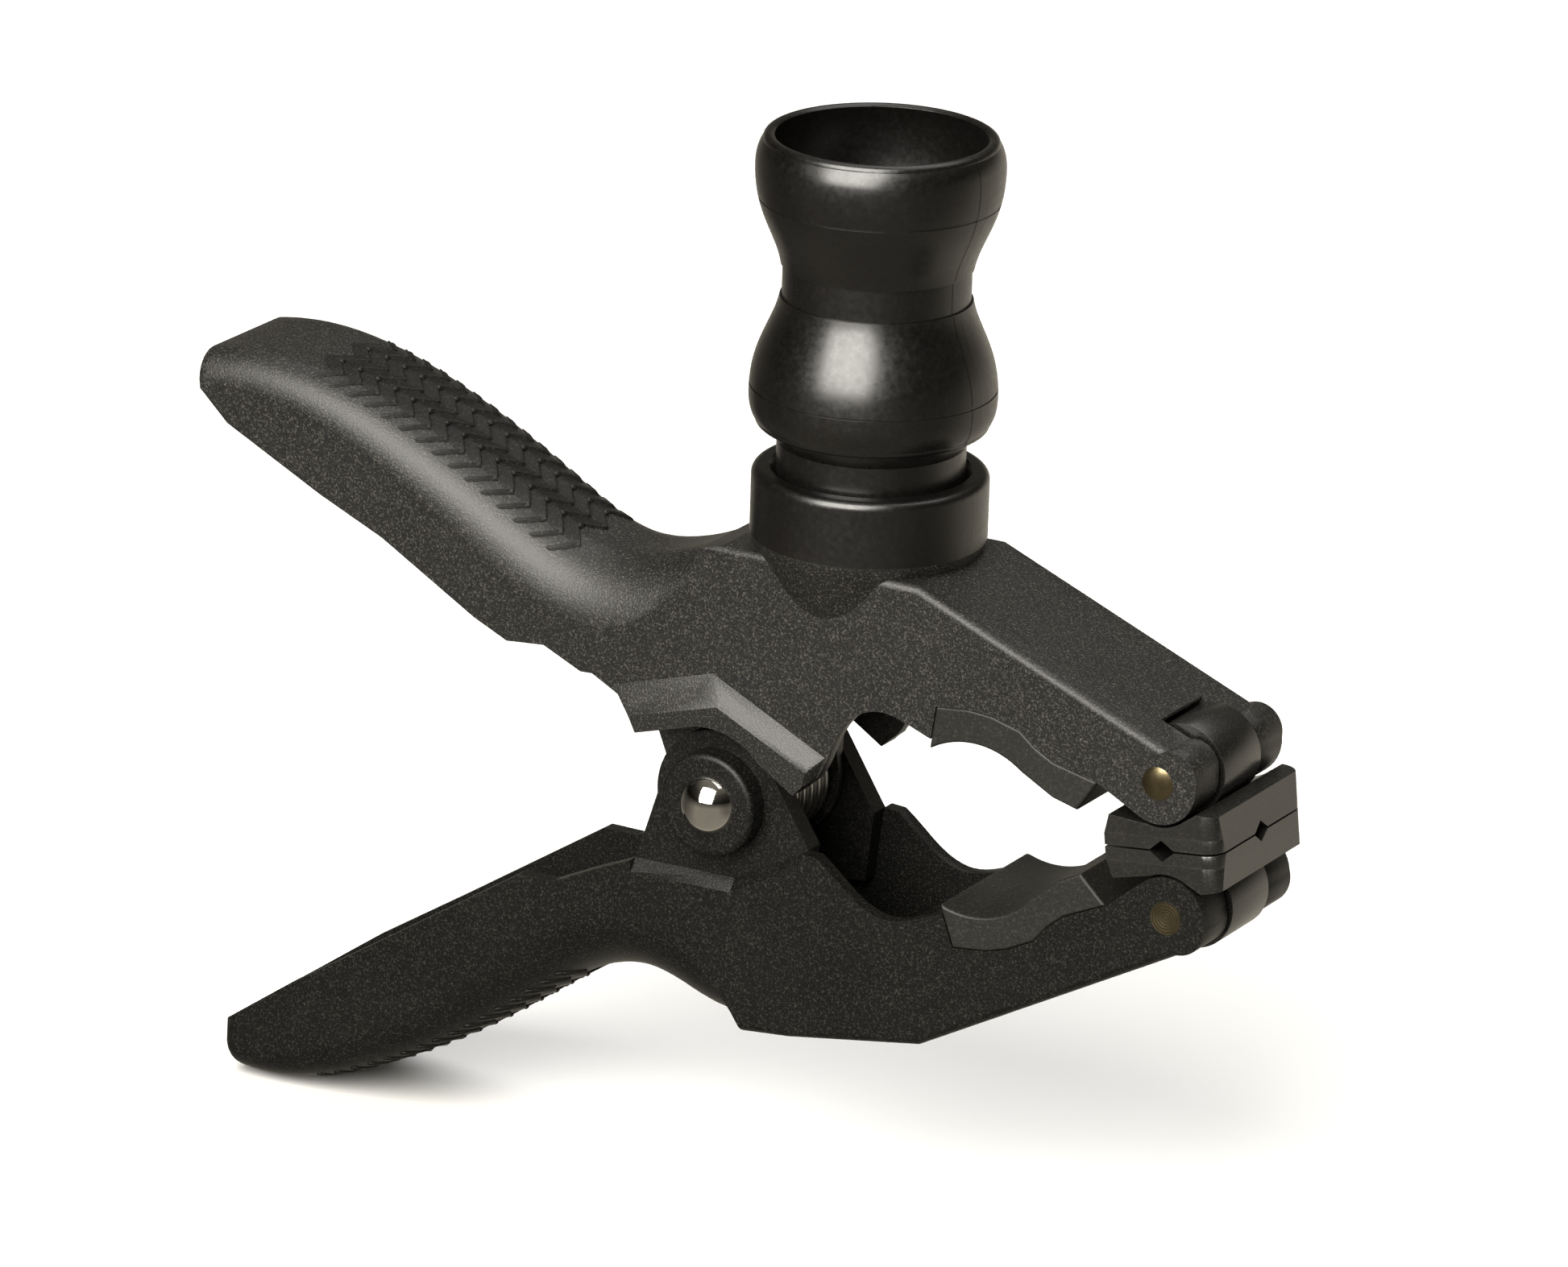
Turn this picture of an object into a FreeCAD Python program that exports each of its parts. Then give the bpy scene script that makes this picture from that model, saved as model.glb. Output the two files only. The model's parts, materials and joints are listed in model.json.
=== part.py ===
import FreeCAD, Part
import math
import os

# Spring clamp with swivelling jaw tips and a ball-socket stem.
#
# The jaws are drawn in the clamp's own plane: u runs from the pivot along the mid-plane to the
# jaw tips, v is the distance from the mid-plane and y runs across the jaws. The upper jaw lies at
# v > 0 and the lower one at v < 0. The finished parts are then moved to the row frame: its origin
# is the centre of the bar cradle, +X points to the jaw tips and +Z along the stem.

Vec = FreeCAD.Vector
UP = 1
DOWN = -1
ALONG_Y = Vec(0, 1, 0)

# Overall
HALF_WIDTH = 12.7           # half of the jaws' 25.4 mm width
WALL_INSIDE = 10.5          # half width of the hollow between the side walls
BACK_WALL = 2.6             # thickness of the handles' and jaws' backs
HOLLOW_FOOT = -2.0          # the cuts that open the hollows end past the mid-plane
CHAMBER_BACK = 1.5          # u of the jaws' inner chambers, which carry on from the handles' hollows
CHAMBER_FRONT = 34.0
CRADLE_U = 42.0             # pivot to the centre of the bar cradle
CRADLE_RADIUS = 12.7        # for a 25.4 mm bar
CRADLE_FROM = 48.0          # degrees, where the round part of the cradle starts and ends
CRADLE_TO = 117.0
CLAMP_PITCH = 6.5           # degrees that the mid-plane rises towards the tips
TOUCH_GAP = 0.15            # half of the gap between the closed jaw pads

# Pivot, from the outside in
BOSS_RADIUS = 7.6
BOSS_FACE = 14.3
BOSS_EDGE = 0.8
LIP_FACE = 14.4
LIP_RADIUS = 11.7
LIP_FROM = 36.5             # degrees, where the round part of the lip starts and ends
LIP_TO = 92.5
EAR_OUTSIDE = 10.8          # the lower jaw's ears
EAR_INSIDE = 7.6
EAR_RADIUS = 10.1
STEP_WIDTH = 1.7            # of the slope from the lower jaw's wall in to its ear
INNER_EAR_OUTSIDE = 7.5     # the upper jaw's ears
INNER_EAR_INSIDE = 5.9
INNER_EAR_RADIUS = 10.0
RIVET_RADIUS = 3.0
RUNNING_CLEARANCE = 0.05
DOME_RADIUS = 4.3
DOME_HEIGHT = 2.7
RIVET_TAIL_RADIUS = 1.8
RIVET_TAIL_LENGTH = 3.0
SLEEVE_RADIUS = 5.4
SLEEVE_HALF_LENGTH = 5.8

# Torsion spring
WIRE_RADIUS = 1.0
COIL_RADIUS = 8.1
COIL_PITCH = 2.1
COIL_FULL_TURNS = 4
UPPER_LEG_END = (-33.0, 36.2)
LOWER_LEG_END = (-36.0, -30.2)

# Jaw tips
PIN_U = 72.3
PIN_V = 9.7
PIN_RADIUS = 2.4
PIN_HALF_LENGTH = 12.75
PIN_DOME = 0.45
FORK_RADIUS = 5.9
NOSE_RADIUS = 6.15          # the nose's front, a little fuller than the fork's round
NOSE_ANGLE = 35.0
FORK_TANGENT = 125.0        # degrees round the pin at which the fork's underside leaves the round
SLOT_HALF_WIDTH = 5.9
SLOT_RADIUS = 7.2
SLOT_BACK_U = 69.6
LUG_HALF_WIDTH = 5.25
LUG_RADIUS = 6.5
SADDLE_RADIUS = 6.35
PAD_LEFT_U = 63.4
PAD_RIGHT_U = 81.1
PAD_FACING = 2.0            # height of the soft facing's back above the mid-plane
PAD_CORNER = 2.6
NOTCH_HALF_WIDTH = 1.85
NOTCH_DEPTH = 1.4
EDGE_ROUND = 1.1
HANDLE_ROUND = 10.0         # of the crest's long edges at the body, and at the tip
HANDLE_ROUND_AT_TIP = 4.5
HANDLE_TIP_ROUND = 3.0

# Cradle pads and their seat in the jaws
SEAT_LEFT = (37.8, 17.6)
SEAT_THROAT = (36.6, 12.8)
SEAT_BACK = [(43.0, 17.6), (46.5, 17.0), (51.0, 15.3), (53.3, 13.0), (56.0, 11.2)]
SEAT_RIGHT = (62.8, 8.9)
CRADLE_RAMP = [(59.2, 4.6), (55.5, 6.0)]
TONGUE_HALF_WIDTH = 4.0
TONGUE = [(40.0, 17.0), (40.0, 20.6), (46.0, 20.6), (46.0, 16.5)]

# Stem, in the row frame: heights above the collar's foot
STEM_X = -25.0
STEM_Z = 35.5
SUPPORT_DEPTH = 9.3
SUPPORT_FOOT_RADIUS = 12.7
COLLAR_RADIUS = 16.7
COLLAR_HEIGHT = 9.6
COLLAR_EDGE = 1.3
COLLAR_FLOOR = 3.2
COLLAR_INNER_EDGE = 0.9
NECK_RADIUS = 13.3
NECK_TOP = 13.5
NECK_FLOOR_TOP = 6.4
BALL_RADIUS = 15.9
BALL_HEIGHT = 22.2
BALL_TOP = 32.0
BALL_BORE = 9.6
SOCKET_GAP = 0.08
SOCKET_MIDDLE = 36.85       # the two sockets are mirror images about this height
SOCKET_MOUTH = 16.2
SOCKET_BORE = 10.3
BAND_RADIUS = 13.2
BAND_HALF_HEIGHT = 2.35
SEAM_HEIGHT = 0.3
SEAMS = [(21.6, 17.26), (48.7, 16.83)]      # height and radius of the fine grooves round the bulges
BOLT_RADIUS = 3.0
BOLT_HEAD_RADIUS = 5.6
BOLT_HEAD_HEIGHT = 3.6
BOLT_HEAD_ROUND = 1.4
HEX_KEY_RADIUS = 2.3
HEX_KEY_DEPTH = 2.2
WASHER_RADIUS = 8.2
WASHER_HEIGHT = 1.2
NUT_RADIUS = 5.77
NUT_HEIGHT = 5.0
BOLT_END = 1.5

# Smooth crests and lower rims of the handles, as (u, |v|) points from the handle's tip forward. The
# last rim point lies inside the jaw.
UPPER_CREST = [(-81.6, 59.8), (-67.0, 58.6), (-48.0, 50.8), (-31.0, 40.2), (-18.5, 33.7),
               (-10.0, 33.7), (2.0, 37.5)]
UPPER_RIM = [(-81.6, 54.6), (-77.4, 49.7), (-62.3, 40.2), (-52.3, 34.6), (-37.6, 24.0),
             (-32.4, 21.0), (-26.2, 20.9), (-20.3, 17.5), (2.0, 20.0)]
LOWER_CREST = [(-89.0, 49.0), (-78.5, 50.7), (-62.4, 47.3), (-45.0, 39.9), (-32.3, 32.8),
               (-24.0, 28.9), (-15.0, 28.4), (-8.0, 31.6), (2.0, 33.8)]
LOWER_RIM = [(-88.0, 42.2), (-75.0, 34.9), (-59.7, 27.3), (-33.3, 13.9), (-27.9, 14.5),
             (-20.3, 11.8), (2.0, 17.0)]


def polar(radius, degrees, centre=(0.0, 0.0)):
    angle = math.radians(degrees)
    return (centre[0] + radius * math.cos(angle), centre[1] + radius * math.sin(angle))


def outline(pieces, side, y):
    """Closed wire at one y. A piece is its kind and the points after the last piece's end:
    "line" joins them, "arc" has a middle and an end, "curve" is smooth through all of them."""
    def place(point):
        return Vec(point[0], y, side * point[1])
    start = pieces[0][1][0]
    here = start
    edges = []
    for kind, points in pieces[1:]:
        if kind == "line":
            for point in points:
                edges.append(Part.makeLine(place(here), place(point)))
                here = point
        elif kind == "arc":
            edges.append(Part.Arc(place(here), place(points[0]), place(points[1])).toShape())
            here = points[-1]
        else:
            spline = Part.BSplineCurve()
            spline.interpolate([place(p) for p in [here] + points])
            edges.append(spline.toShape())
            here = points[-1]
    if math.dist(here, start) > 1e-6:
        edges.append(Part.makeLine(place(here), place(start)))
    return Part.Wire(edges)


def prism(pieces, side, y_low, y_high):
    face = Part.Face(outline(pieces, side, y_low))
    return face.extrude(Vec(0, y_high - y_low, 0))


def polygon(points):
    return [("start", [points[0]]), ("line", points[1:])]


def both_sides(shape):
    """The shape and its mirror image across the clamp's middle plane."""
    return [shape, shape.mirror(Vec(0, 0, 0), ALONG_Y)]


def disc(radius, centre, side, y_low, y_high):
    return Part.makeCylinder(radius, y_high - y_low, Vec(centre[0], y_low, side * centre[1]), ALONG_Y)


def across(radius, centre, side, half_width):
    return disc(radius, centre, side, -half_width, half_width)


def inset(points, depth):
    """Points moved towards the hollow by a wall's thickness, square to the curve."""
    moved = []
    last = len(points) - 1
    for i, (u, v) in enumerate(points):
        before = points[max(i - 1, 0)]
        after = points[min(i + 1, last)]
        du = after[0] - before[0]
        dv = after[1] - before[1]
        length = math.hypot(du, dv)
        moved.append((u + depth * dv / length, v - depth * du / length))
    return moved


def round_crest(solid, half_width, wall):
    """Rounds the two long edges between a handle's back and its sides, more so towards the body."""
    long_edges = []
    for edge in solid.Edges:
        smooth = edge.Curve.TypeId == "Part::GeomBSplineCurve"
        middle = edge.valueAt((edge.FirstParameter + edge.LastParameter) / 2)
        if smooth and abs(abs(middle.y) - half_width) < 0.01:
            long_edges.append(edge)
    return solid.makeFillet(HANDLE_ROUND_AT_TIP - wall, HANDLE_ROUND - wall, long_edges)


def handle_block(crest, rim, side, half_width, wall):
    pieces = [("start", [crest[0]]), ("curve", crest[1:]), ("line", rim[::-1])]
    return round_crest(prism(pieces, side, -half_width, half_width), half_width, wall)


def handle(crest, rim, side):
    """Outer block of one handle and the hollow that opens towards the other handle."""
    block = handle_block(crest, rim, side, HALF_WIDTH, 0.0)
    block = round_tip(block, rim[0], side)
    inner = inset(crest, BACK_WALL)
    inner[0] = (inner[0][0] + BACK_WALL, inner[0][1])
    foot = [(rim[0][0] + 2 * BACK_WALL, HOLLOW_FOOT), (inner[-1][0], HOLLOW_FOOT)]
    hollow = handle_block(inner, foot, side, WALL_INSIDE, HALF_WIDTH - WALL_INSIDE)
    return block, hollow


def round_tip(block, tip, side):
    """Rounds the handle's end where its end face meets the sides."""
    ends = []
    for edge in block.Edges:
        low, high = sorted((edge.Vertexes[0].Point, edge.Vertexes[-1].Point), key=lambda p: side * p.z)
        at_tip = (low - Vec(tip[0], low.y, side * tip[1])).Length < 0.01
        if at_tip and abs(low.y - high.y) < 0.01 and side * high.z > tip[1] + 1:
            ends.append(edge)
    return block.makeFillet(HANDLE_TIP_ROUND, ends) if ends else block


def nose(back_end):
    """Jaw tip from the back line round the fork and along its underside to the pad seat."""
    pin = (PIN_U, PIN_V)
    return [("line", [back_end]),
            ("arc", [polar(NOSE_RADIUS, NOSE_ANGLE, pin), polar(FORK_RADIUS, 0, pin)]),
            ("arc", [polar(FORK_RADIUS, -FORK_TANGENT / 2, pin), polar(FORK_RADIUS, -FORK_TANGENT, pin)]),
            ("line", [SEAT_RIGHT])]


def round_back(block, points, side):
    """Takes the sharpness off the jaw's back edges between the listed points."""
    chosen = []
    for edge in block.Edges:
        ends = [edge.Vertexes[0].Point, edge.Vertexes[-1].Point]
        same_side = abs(ends[0].y - ends[1].y) < 0.01 and abs(abs(ends[0].y) - HALF_WIDTH) < 0.01
        listed = [any(math.dist((end.x, side * end.z), p) < 0.01 for p in points) for end in ends]
        if same_side and all(listed):
            chosen.append(edge)
    return block.makeFillet(EDGE_ROUND, chosen)


def cut_fork(jaw, side):
    """Slot for the swivel pad's lug and the hole for its pin."""
    slot = across(SLOT_RADIUS, (PIN_U, PIN_V), side, SLOT_HALF_WIDTH)
    above = PIN_V + 3 * FORK_RADIUS
    front = polygon([(SLOT_BACK_U, PIN_V), (SLOT_BACK_U, above), (PAD_RIGHT_U, above),
                     (PAD_RIGHT_U, PIN_V)])
    slot = slot.fuse(prism(front, side, -SLOT_HALF_WIDTH, SLOT_HALF_WIDTH))
    return jaw.cut(slot).cut(across(PIN_RADIUS, (PIN_U, PIN_V), side, HALF_WIDTH + 1))


def upper_jaw():
    back = [(1.0, 37.4), (4.4, 37.9), (36.1, 34.6), (74.0, 14.4)]
    throat = [(32.6, 14.8), (28.5, 16.0), (24.6, 14.9), (21.4, 11.6), (19.6, 8.3), (17.3, 4.9)]
    corner = (14.5, 2.9)
    lip_end = polar(LIP_RADIUS, LIP_FROM)
    lip_middle = polar(LIP_RADIUS, (LIP_FROM + LIP_TO) / 2)
    lip_start = polar(LIP_RADIUS, LIP_TO)
    lip_tail = (-10.9, 9.8)
    pieces = [("start", [(-20.3, 17.5)]), ("line", [(-18.6, 24.0)]), ("arc", [(-8.6, 26.9), back[0]]),
              ("line", back[1:3])]
    pieces += nose(back[3])
    pieces += [("line", SEAT_BACK[::-1] + [SEAT_LEFT, SEAT_THROAT]), ("curve", throat),
               ("line", [corner, lip_end]), ("arc", [lip_middle, lip_start]),
               ("line", [lip_tail, (-12.2, 13.3), (-18.4, 17.4)])]
    body = round_back(prism(pieces, UP, -HALF_WIDTH, HALF_WIDTH), back[1:], UP)
    block, hollow = handle(UPPER_CREST, UPPER_RIM, UP)
    chamber = polygon([(CHAMBER_BACK, -5.0), (CHAMBER_BACK, 34.2), (4.4, 35.0), (CHAMBER_FRONT, 31.9),
                       (CHAMBER_FRONT, -5.0)])
    jaw = body.fuse(block).cut(hollow).cut(prism(chamber, UP, -WALL_INSIDE, WALL_INSIDE))
    # lip that stands proud of the wall over the lower jaw's ear, with a sloping top
    foot = [("start", [corner]), ("line", [lip_end]), ("arc", [lip_middle, lip_start]),
            ("line", [lip_tail])]
    at_wall = foot + [("line", [(-15.0, 16.1), (1.8, 19.2), (19.2, 8.4), (17.4, 4.9)])]
    at_face = foot + [("line", [(-11.8, 12.2), (3.0, 14.8), (16.8, 6.4), (16.2, 4.4)])]
    lip = Part.makeLoft([outline(at_wall, UP, -HALF_WIDTH), outline(at_face, UP, -LIP_FACE)], True, True)
    # ceiling over the lower ear and the inner ear that hangs from it
    ceiling = [("start", [lip_end]), ("arc", [lip_middle, lip_start]),
               ("line", [lip_tail, (-12.3, 13.4), (-10.0, 18.0), (8.0, 18.0), (13.5, 9.5)])]
    web = prism(ceiling, UP, INNER_EAR_INSIDE, HALF_WIDTH)
    tangent_left = polar(INNER_EAR_RADIUS, 165)
    tangent_right = polar(INNER_EAR_RADIUS, 12)
    ear_outline = [("start", [tangent_right]), ("arc", [polar(INNER_EAR_RADIUS, -90), tangent_left]),
                   ("line", [(-12.3, 12.0), (-10.0, 18.0), (8.0, 18.0), (11.0, 10.0)])]
    ear = prism(ear_outline, UP, INNER_EAR_INSIDE, INNER_EAR_OUTSIDE)
    for piece in both_sides(lip) + both_sides(web) + both_sides(ear):
        jaw = jaw.fuse(piece)
    jaw = jaw.cut(across(RIVET_RADIUS + RUNNING_CLEARANCE, (0, 0), UP, INNER_EAR_OUTSIDE + 1))
    jaw = cut_fork(jaw, UP).cut(prism(polygon(TONGUE), UP, -TONGUE_HALF_WIDTH, TONGUE_HALF_WIDTH))
    jaw = to_row(jaw)
    # round support under the stem's collar
    foot_point = Vec(STEM_X, 0, STEM_Z - SUPPORT_DEPTH)
    support = Part.makeCone(SUPPORT_FOOT_RADIUS, COLLAR_RADIUS, SUPPORT_DEPTH, foot_point)
    below = foot_point - Vec(0, 0, SUPPORT_DEPTH)
    bolt_hole = Part.makeCylinder(BOLT_RADIUS, 3 * SUPPORT_DEPTH, below)
    return jaw.fuse(support).cut(bolt_hole).removeSplitter()


def step_wedge(start, end):
    """Cut along one stretch of the lower jaw's edge, which leaves a slope down from it to the wall."""
    edge_y = -HALF_WIDTH + STEP_WIDTH
    outside = -HALF_WIDTH - 1
    edge_z = DOWN * start[1]
    corners = [(outside, edge_z + 1), (edge_y, edge_z + 1), (edge_y, edge_z),
               (outside, edge_z - STEP_WIDTH - 1)]
    triangle = Part.makePolygon([Vec(start[0], y, z) for y, z in corners + corners[:1]])
    return Part.Face(triangle).extrude(Vec(end[0] - start[0], 0, DOWN * (end[1] - start[1])))


def lower_jaw():
    back = [(2.0, 33.9), (9.5, 34.0), (31.0, 32.8), (74.0, 14.9)]
    throat = [(31.5, 14.2), (27.0, 14.6), (23.6, 13.2), (20.4, 10.4), (16.6, 6.6)]
    crease = [(14.3, 6.2), (1.9, 11.4), (-14.5, 10.0)]
    pieces = [("start", [(-20.3, 11.8)]), ("line", [(-20.3, 17.0)]), ("arc", [(-8.6, 21.4), back[0]]),
              ("line", back[1:3])]
    pieces += nose(back[3])
    pieces += [("line", SEAT_BACK[::-1] + [SEAT_LEFT, SEAT_THROAT]), ("curve", throat), ("line", crease)]
    body = round_back(prism(pieces, DOWN, -HALF_WIDTH, HALF_WIDTH), back[1:], DOWN)
    block, hollow = handle(LOWER_CREST, LOWER_RIM, DOWN)
    chamber = polygon([(CHAMBER_BACK, -5.0), (CHAMBER_BACK, 31.1), (9.5, 31.4), (30.0, 30.2),
                       (CHAMBER_FRONT, 28.6), (CHAMBER_FRONT, -5.0)])
    jaw = body.fuse(block).cut(hollow).cut(prism(chamber, DOWN, -WALL_INSIDE, WALL_INSIDE))
    for start, end in zip(crease[:-1], crease[1:]):
        for wedge in both_sides(step_wedge(start, end)):
            jaw = jaw.cut(wedge)
    ear_outline = [("start", [polar(EAR_RADIUS, -27)]),
                   ("arc", [polar(EAR_RADIUS, -103), polar(EAR_RADIUS, -180)]),
                   ("line", [(-14.6, 10.2), (-14.6, 16.5), (12.0, 16.5), (14.3, 6.2)])]
    ear = prism(ear_outline, DOWN, EAR_INSIDE, EAR_OUTSIDE)
    boss = disc(BOSS_RADIUS, (0, 0), DOWN, EAR_INSIDE, BOSS_FACE)
    rim = [edge for edge in boss.Edges if edge.CenterOfMass.y > BOSS_FACE - 0.01]
    boss = boss.makeFillet(BOSS_EDGE, rim)
    for piece in both_sides(ear) + both_sides(boss):
        jaw = jaw.fuse(piece)
    jaw = jaw.cut(across(RIVET_RADIUS, (0, 0), DOWN, BOSS_FACE + 1))
    jaw = cut_fork(jaw, DOWN).cut(prism(polygon(TONGUE), DOWN, -TONGUE_HALF_WIDTH, TONGUE_HALF_WIDTH))
    return to_row(jaw.removeSplitter())


def to_row(shape):
    """From the clamp's plane to the row frame."""
    moved = shape.copy()
    moved.translate(Vec(-CRADLE_U, 0, 0))
    moved.rotate(Vec(0, 0, 0), ALONG_Y, -CLAMP_PITCH)
    return moved


def cradle_pad(side):
    centre = (CRADLE_U, 0.0)
    middle = (CRADLE_FROM + CRADLE_TO) / 2
    pieces = [("start", [SEAT_LEFT]), ("line", SEAT_BACK + [SEAT_RIGHT] + CRADLE_RAMP),
              ("line", [polar(CRADLE_RADIUS, CRADLE_FROM, centre)]),
              ("arc", [polar(CRADLE_RADIUS, middle, centre), polar(CRADLE_RADIUS, CRADLE_TO, centre)])]
    pad = prism(pieces, side, -HALF_WIDTH, HALF_WIDTH)
    tongue = prism(polygon(TONGUE), side, -TONGUE_HALF_WIDTH, TONGUE_HALF_WIDTH)
    return to_row(pad.fuse(tongue).removeSplitter())


def pad_blank(side):
    """Swivel pad and facing in one: straight face, V notch and a saddle under the fork's ears."""
    pin = (PIN_U, PIN_V)
    pieces = [("start", [(PAD_LEFT_U, TOUCH_GAP)]),
              ("line", [(PAD_LEFT_U, 1.8), (64.3, 4.6), polar(SADDLE_RADIUS, -110, pin)]),
              ("arc", [polar(SADDLE_RADIUS, -82, pin), polar(SADDLE_RADIUS, -55, pin)]),
              ("line", [(78.0, 5.7), (80.8, 5.3), (PAD_RIGHT_U, TOUCH_GAP),
                        (PIN_U + NOTCH_HALF_WIDTH, TOUCH_GAP), (PIN_U, TOUCH_GAP + NOTCH_DEPTH),
                        (PIN_U - NOTCH_HALF_WIDTH, TOUCH_GAP)])]
    blank = prism(pieces, side, -HALF_WIDTH, HALF_WIDTH)
    corner_box = Part.makeBox(40, 2 * HALF_WIDTH, 40, Vec(PAD_RIGHT_U - 40, -HALF_WIDTH, -20))
    upright = [e for e in corner_box.Edges if abs(e.Vertexes[0].Point.x - PAD_RIGHT_U) < 0.01
               and abs(e.Vertexes[1].Point.x - PAD_RIGHT_U) < 0.01
               and abs(e.Vertexes[0].Point.y - e.Vertexes[1].Point.y) < 0.01]
    return blank.common(corner_box.makeFillet(PAD_CORNER, upright))


def below_facing(side):
    low, high = sorted((0.0, side * PAD_FACING))
    return Part.makeBox(40, 2 * HALF_WIDTH + 2, high - low, Vec(PAD_LEFT_U - 10, -HALF_WIDTH - 1, low))


def swivel_pad(side):
    pad = pad_blank(side).cut(below_facing(side))
    lug = across(LUG_RADIUS, (PIN_U, PIN_V), side, LUG_HALF_WIDTH)
    neck = polygon([(68.4, PAD_FACING), (68.4, 6.0), (76.2, 6.0), (76.2, PAD_FACING)])
    pad = pad.fuse(lug).fuse(prism(neck, side, -LUG_HALF_WIDTH, LUG_HALF_WIDTH))
    pad = pad.cut(across(PIN_RADIUS + RUNNING_CLEARANCE, (PIN_U, PIN_V), side, HALF_WIDTH))
    return to_row(pad.removeSplitter())


def pad_facing(side):
    facing = pad_blank(side).common(below_facing(side))
    groove = Part.makePolygon([Vec(PAD_LEFT_U - 1, -NOTCH_HALF_WIDTH, side * TOUCH_GAP),
                               Vec(PAD_LEFT_U - 1, 0, side * (TOUCH_GAP + NOTCH_DEPTH)),
                               Vec(PAD_LEFT_U - 1, NOTCH_HALF_WIDTH, side * TOUCH_GAP),
                               Vec(PAD_LEFT_U - 1, -NOTCH_HALF_WIDTH, side * TOUCH_GAP)])
    facing = facing.cut(Part.Face(groove).extrude(Vec(40, 0, 0)))
    return to_row(facing)


def pad_pin(side, domed):
    pin = across(PIN_RADIUS, (PIN_U, PIN_V), side, PIN_HALF_LENGTH)
    if domed:
        # shallow spherical ends
        ball_radius = (PIN_RADIUS ** 2 + PIN_DOME ** 2) / (2 * PIN_DOME)
        reach = PIN_HALF_LENGTH + PIN_DOME - ball_radius
        longer = across(PIN_RADIUS, (PIN_U, PIN_V), side, PIN_HALF_LENGTH + PIN_DOME)
        for centre_y in (-reach, reach):
            ball = Part.makeSphere(ball_radius, Vec(PIN_U, centre_y, side * PIN_V))
            pin = pin.fuse(longer.common(ball))
    return to_row(pin.removeSplitter())


def rivet_dome():
    """Domed head on the far side of the pivot's y axis."""
    ball_radius = (DOME_RADIUS ** 2 + DOME_HEIGHT ** 2) / (2 * DOME_HEIGHT)
    centre_y = BOSS_FACE + DOME_HEIGHT - ball_radius
    ball = Part.makeSphere(ball_radius, Vec(0, centre_y, 0))
    return ball.common(disc(DOME_RADIUS, (0, 0), UP, BOSS_FACE, BOSS_FACE + DOME_HEIGHT))


def pivot_rivet():
    head = rivet_dome().mirror(Vec(0, 0, 0), ALONG_Y)
    shaft = across(RIVET_RADIUS, (0, 0), UP, BOSS_FACE)
    tail_hole = disc(RIVET_TAIL_RADIUS, (0, 0), UP, BOSS_FACE - RIVET_TAIL_LENGTH, BOSS_FACE)
    return to_row(shaft.cut(tail_hole).fuse(head).removeSplitter())


def pivot_cap():
    tail = disc(RIVET_TAIL_RADIUS, (0, 0), UP, BOSS_FACE - RIVET_TAIL_LENGTH, BOSS_FACE)
    return to_row(rivet_dome().fuse(tail).removeSplitter())


def spring_sleeve():
    tube = across(SLEEVE_RADIUS, (0, 0), UP, SLEEVE_HALF_LENGTH)
    return to_row(tube.cut(across(RIVET_RADIUS + RUNNING_CLEARANCE, (0, 0), UP, SLEEVE_HALF_LENGTH)))


def leg_contact(end, turn):
    """Angle at which a leg that runs to end leaves the coil."""
    distance = math.hypot(end[0], end[1])
    return math.degrees(math.atan2(end[1], end[0]) + turn * math.acos(COIL_RADIUS / distance))


def torsion_spring():
    first = leg_contact(UPPER_LEG_END, -1)
    last = leg_contact(LOWER_LEG_END, 1)
    turns = COIL_FULL_TURNS + ((first - last) % 360) / 360
    length = turns * COIL_PITCH
    helix = Part.makeHelix(COIL_PITCH, length, COIL_RADIUS)
    section = Part.Wire(Part.makeCircle(WIRE_RADIUS, Vec(COIL_RADIUS, 0, 0), Vec(0, 1, 0)))
    coil = Part.Wire(helix).makePipeShell([section], True, True)
    # the coil's axis turns from Z to Y, and its first end goes to the upper leg's contact
    radial = Vec(math.cos(math.radians(first)), 0, math.sin(math.radians(first)))
    coil.Placement = FreeCAD.Placement(Vec(0, -length / 2, 0),
                                       FreeCAD.Rotation(radial, ALONG_Y.cross(radial), ALONG_Y, "ZXY"))
    spring = coil
    for end, angle, y in ((UPPER_LEG_END, first, -length / 2), (LOWER_LEG_END, last, length / 2)):
        contact = polar(COIL_RADIUS, angle)
        start = Vec(contact[0], y, contact[1])
        leg = Vec(end[0], y, end[1]) - start
        spring = spring.fuse(Part.makeCylinder(WIRE_RADIUS, leg.Length, start, leg))
        spring = spring.fuse(Part.makeSphere(WIRE_RADIUS, start))
    return to_row(spring)


def stem_point(height):
    return Vec(STEM_X, 0, STEM_Z + height)


def turned(pieces):
    """Solid of revolution about the stem's axis from (radius, height) pieces."""
    wire = outline(pieces, UP, 0)
    solid = Part.Face(wire).revolve(Vec(0, 0, 0), Vec(0, 0, 1), 360)
    solid.translate(stem_point(0))
    return solid


def stem_collar():
    bore = NECK_RADIUS + RUNNING_CLEARANCE
    shoulder = COLLAR_RADIUS - COLLAR_EDGE
    edge_middle = polar(COLLAR_EDGE, 45, (shoulder, COLLAR_HEIGHT - COLLAR_EDGE))
    inner_edge = [(bore + COLLAR_INNER_EDGE, COLLAR_HEIGHT), (bore, COLLAR_HEIGHT - COLLAR_INNER_EDGE)]
    return turned([("start", [(BOLT_RADIUS, 0.0)]),
                   ("line", [(COLLAR_RADIUS, 0.0), (COLLAR_RADIUS, COLLAR_HEIGHT - COLLAR_EDGE)]),
                   ("arc", [edge_middle, (shoulder, COLLAR_HEIGHT)]),
                   ("line", inner_edge + [(bore, COLLAR_FLOOR), (BOLT_RADIUS, COLLAR_FLOOR)])])


def ball_level(radius):
    """Height above the ball's centre at which the ball has this radius."""
    return math.sqrt(BALL_RADIUS ** 2 - radius ** 2)


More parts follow.
